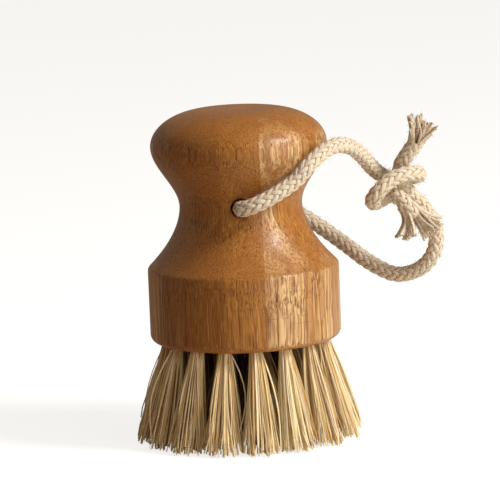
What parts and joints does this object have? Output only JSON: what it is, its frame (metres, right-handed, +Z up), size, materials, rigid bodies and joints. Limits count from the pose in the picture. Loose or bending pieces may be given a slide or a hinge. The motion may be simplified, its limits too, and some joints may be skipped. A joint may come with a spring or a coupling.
{
  "type": "vegetable brush",
  "caption": "Round palm brush with a turned knob and waist, a drum set with flared plant-fibre tufts, and a knotted cotton hanging cord through the neck.",
  "frame": {"origin": "centre of the circle that the bristle tips stand on", "axes": "+Z up the brush's axis towards the knob, +Y from the bore's front mouth to its rear mouth, +X towards the side on which the cord's loop lies"},
  "size_m": [0.0911, 0.0654, 0.0955],
  "materials": {
    "bamboo": "oiled and lightly varnished laminated bamboo",
    "plant_fibre": "dry, straw-coloured plant fibre",
    "anchor_wire": "flat steel wire",
    "cotton_cord": "undyed braided cotton"
  },
  "bodies": {
    "brush": {"handle_block": "bamboo", "tuft_outer_01": "plant_fibre", "tuft_outer_02": "plant_fibre", "tuft_outer_03": "plant_fibre", "tuft_outer_04": "plant_fibre", "tuft_outer_05": "plant_fibre", "tuft_outer_06": "plant_fibre", "tuft_outer_07": "plant_fibre", "tuft_outer_08": "plant_fibre", "tuft_outer_09": "plant_fibre", "tuft_outer_10": "plant_fibre", "tuft_outer_11": "plant_fibre", "tuft_outer_12": "plant_fibre", "tuft_outer_13": "plant_fibre", "tuft_outer_14": "plant_fibre", "tuft_outer_15": "plant_fibre", "tuft_outer_16": "plant_fibre", "tuft_middle_01": "plant_fibre", "tuft_middle_02": "plant_fibre", "tuft_middle_03": "plant_fibre", "tuft_middle_04": "plant_fibre", "tuft_middle_05": "plant_fibre", "tuft_middle_06": "plant_fibre", "tuft_middle_07": "plant_fibre", "tuft_middle_08": "plant_fibre", "tuft_inner_01": "plant_fibre", "tuft_inner_02": "plant_fibre", "tuft_inner_03": "plant_fibre", "wire_anchor_outer_01": "anchor_wire", "wire_anchor_outer_02": "anchor_wire", "wire_anchor_outer_03": "anchor_wire", "wire_anchor_outer_04": "anchor_wire", "wire_anchor_outer_05": "anchor_wire", "wire_anchor_outer_06": "anchor_wire", "wire_anchor_outer_07": "anchor_wire", "wire_anchor_outer_08": "anchor_wire", "wire_anchor_outer_09": "anchor_wire", "wire_anchor_outer_10": "anchor_wire", "wire_anchor_outer_11": "anchor_wire", "wire_anchor_outer_12": "anchor_wire", "wire_anchor_outer_13": "anchor_wire", "wire_anchor_outer_14": "anchor_wire", "wire_anchor_outer_15": "anchor_wire", "wire_anchor_outer_16": "anchor_wire", "wire_anchor_middle_01": "anchor_wire", "wire_anchor_middle_02": "anchor_wire", "wire_anchor_middle_03": "anchor_wire", "wire_anchor_middle_04": "anchor_wire", "wire_anchor_middle_05": "anchor_wire", "wire_anchor_middle_06": "anchor_wire", "wire_anchor_middle_07": "anchor_wire", "wire_anchor_middle_08": "anchor_wire", "wire_anchor_inner_01": "anchor_wire", "wire_anchor_inner_02": "anchor_wire", "wire_anchor_inner_03": "anchor_wire"},
    "cord_loop": {"cord_front_leg": "cotton_cord", "cord_rear_leg": "cotton_cord", "cord_upper_frayed_end": "cotton_cord", "cord_lower_frayed_end_left": "cotton_cord", "cord_lower_frayed_end_right": "cotton_cord"}
  },
  "joints": [
    {"name": "cord_swing", "type": "hinge", "parent": "brush", "child": "cord_loop", "pos_m": [0, 0, 0.069], "axis": [0, 1, 0], "range_deg": [0, 24]}
  ]
}
